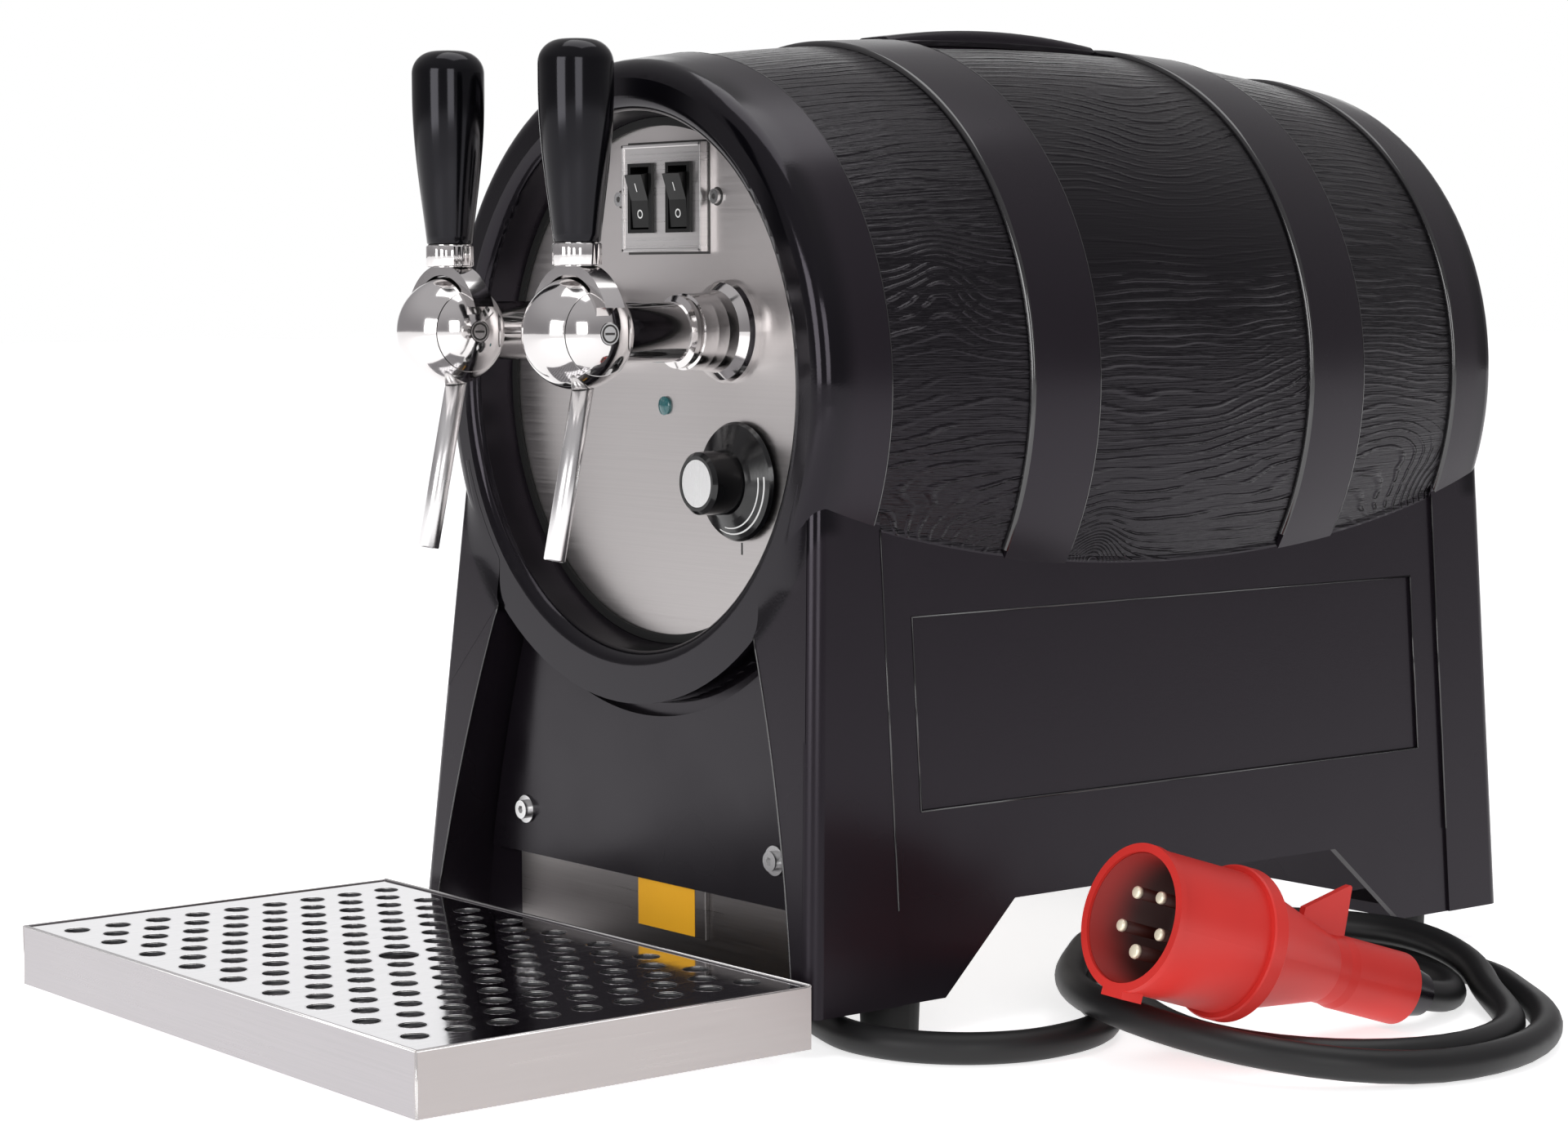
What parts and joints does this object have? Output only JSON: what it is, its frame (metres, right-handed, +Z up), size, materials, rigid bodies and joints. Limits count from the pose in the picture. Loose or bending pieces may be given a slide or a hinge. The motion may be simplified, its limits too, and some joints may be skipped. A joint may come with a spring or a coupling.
{
  "type": "hot drink dispenser",
  "caption": "Countertop barrel-shaped hot drink dispenser with ball taps on a round steel front, drip tray and a coiled mains cable with a red plug",
  "frame": {"origin": "middle of the footprint of machine and tray, on the table", "axes": "X across the machine, the front with the taps faces -Y, Z up"},
  "size_m": [0.4724, 0.585, 0.4045],
  "materials": {
    "housing_black": "satin moulded, grained staves",
    "panel_black": "satin",
    "switch_black": "satin",
    "knob_black": "gloss",
    "handle_black": "high gloss",
    "rubber_black": "matt",
    "cable_black": "satin sheath",
    "steel_brushed": "brushed",
    "steel_mirror": "mirror polished",
    "tap_chrome": "mirror",
    "screw_steel": "bright",
    "knob_aluminium": "spun",
    "inner_brass": "machined",
    "pin_brass": "bright",
    "inner_cream": "satin",
    "lamp_teal": "clear tinted",
    "plug_red": "satin"
  },
  "bodies": {
    "machine": {"housing": "housing_black", "carry_handle": "housing_black", "front_plate": "steel_brushed", "plate_seal": "rubber_black", "switch_plate": "steel_brushed", "switch_plate_screws": "screw_steel", "switch_body_left": "switch_black", "switch_body_right": "switch_black", "pilot_lamp": "lamp_teal", "thermostat": "inner_cream", "tap_flange_left": "tap_chrome", "tap_flange_right": "tap_chrome", "tap_shank_left": "tap_chrome", "tap_shank_right": "tap_chrome", "tap_nuts": "inner_brass", "tap_body_left": "tap_chrome", "tap_body_right": "tap_chrome", "tap_spout_left": "tap_chrome", "tap_spout_right": "tap_chrome", "front_panel": "panel_black", "front_panel_screws": "screw_steel", "tray_bracket": "steel_brushed", "bottom_plate": "steel_brushed", "bottom_plate_screws": "screw_steel", "rubber_feet": "rubber_black", "back_plate": "steel_brushed", "back_plate_screws": "screw_steel", "inlet_fittings": "inner_brass", "heating_tank": "steel_brushed", "heating_element": "screw_steel", "tank_cradles": "steel_brushed", "product_tubes": "steel_brushed", "terminal_box": "panel_black", "terminal_block": "inner_cream", "cable_gland": "panel_black", "cable_lead": "cable_black", "cable_coil": "cable_black", "plug_gland": "panel_black", "plug_body": "plug_red", "plug_pins": "pin_brass"},
    "lever_left": {"tap_lever_left": "tap_chrome", "tap_pivot_left": "screw_steel", "tap_handle_left": "handle_black"},
    "lever_right": {"tap_lever_right": "tap_chrome", "tap_pivot_right": "screw_steel", "tap_handle_right": "handle_black"},
    "stem_left": {"valve_stem_left": "inner_brass"},
    "stem_right": {"valve_stem_right": "inner_brass"},
    "rocker_l": {"rocker_left": "switch_black"},
    "rocker_r": {"rocker_right": "switch_black"},
    "knob": {"thermostat_spindle": "screw_steel", "thermostat_knob": "knob_black", "knob_disc": "knob_aluminium"},
    "tray": {"drip_tray": "steel_brushed"},
    "grid": {"drip_grid": "steel_mirror"}
  },
  "joints": [
    {"name": "tap_left", "type": "hinge", "parent": "machine", "child": "lever_left", "pos_m": [-0.045, -0.1485, 0.276], "axis": [1, 0, 0], "range_deg": [0, 50]},
    {"name": "tap_right", "type": "hinge", "parent": "machine", "child": "lever_right", "pos_m": [0.045, -0.1485, 0.276], "axis": [1, 0, 0], "range_deg": [0, 50]},
    {"name": "valve_left", "type": "slide", "parent": "machine", "child": "stem_left", "axis": [0, -1, 0], "range_m": [0, 0.004]},
    {"name": "valve_right", "type": "slide", "parent": "machine", "child": "stem_right", "axis": [0, -1, 0], "range_m": [0, 0.004]},
    {"name": "switch_left", "type": "hinge", "parent": "machine", "child": "rocker_l", "pos_m": [-0.008, -0.075, 0.33], "axis": [-1, 0, 0], "range_deg": [0, 22]},
    {"name": "switch_right", "type": "hinge", "parent": "machine", "child": "rocker_r", "pos_m": [0.018, -0.075, 0.33], "axis": [-1, 0, 0], "range_deg": [0, 22]},
    {"name": "thermostat_turn", "type": "hinge", "parent": "machine", "child": "knob", "pos_m": [0.053, -0.0745, 0.216], "axis": [0, 1, 0], "range_deg": [0, 270]},
    {"name": "tray_out", "type": "slide", "parent": "machine", "child": "tray", "axis": [0, -1, 0], "range_m": [0, 0.1]},
    {"name": "grid_lift", "type": "slide", "parent": "tray", "child": "grid", "axis": [0, 0, 1], "range_m": [0, 0.06]}
  ],
  "couplings": [
    {"joint": "valve_left", "follows": "tap_left", "m_per_rad": 0.0045},
    {"joint": "valve_right", "follows": "tap_right", "m_per_rad": 0.0045}
  ]
}
